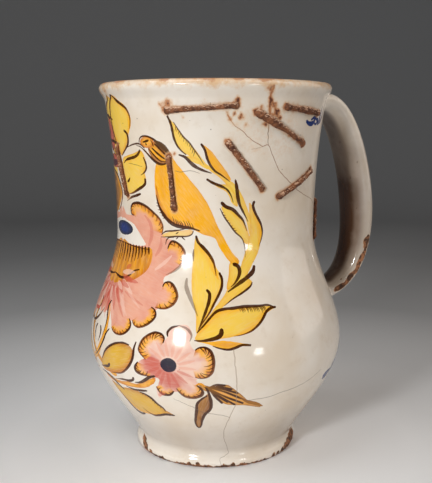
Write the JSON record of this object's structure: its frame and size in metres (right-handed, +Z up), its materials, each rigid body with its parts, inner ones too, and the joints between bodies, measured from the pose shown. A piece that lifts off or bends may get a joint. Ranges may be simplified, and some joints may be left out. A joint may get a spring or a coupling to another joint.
{
  "type": "ceramic jug",
  "caption": "Hollow tin-glazed earthenware jug with a wide mouth, round belly, strap handle and painted flowers, mended with iron staples.",
  "frame": {"origin": "middle of the flat underside, on the axis of the wheel it was thrown on", "axes": "+Z up along the axis; +X towards the handle"},
  "size_m": [0.1722, 0.1472, 0.21],
  "materials": {
    "glazed_earthenware": "glossy warm white tin glaze with a painted bird, flowers and leaves, cracked and stained",
    "rusted_iron": "dark brown rusted wrought wire"
  },
  "bodies": {
    "root": {"jug": "glazed_earthenware", "staple_rim_long": "rusted_iron", "staple_over_break": "rusted_iron", "staple_rim_short": "rusted_iron", "staple_neck_middle": "rusted_iron", "staple_neck_slant": "rusted_iron", "staple_by_handle": "rusted_iron", "staple_on_bird": "rusted_iron", "staple_on_leaf": "rusted_iron"}
  },
  "joints": []
}
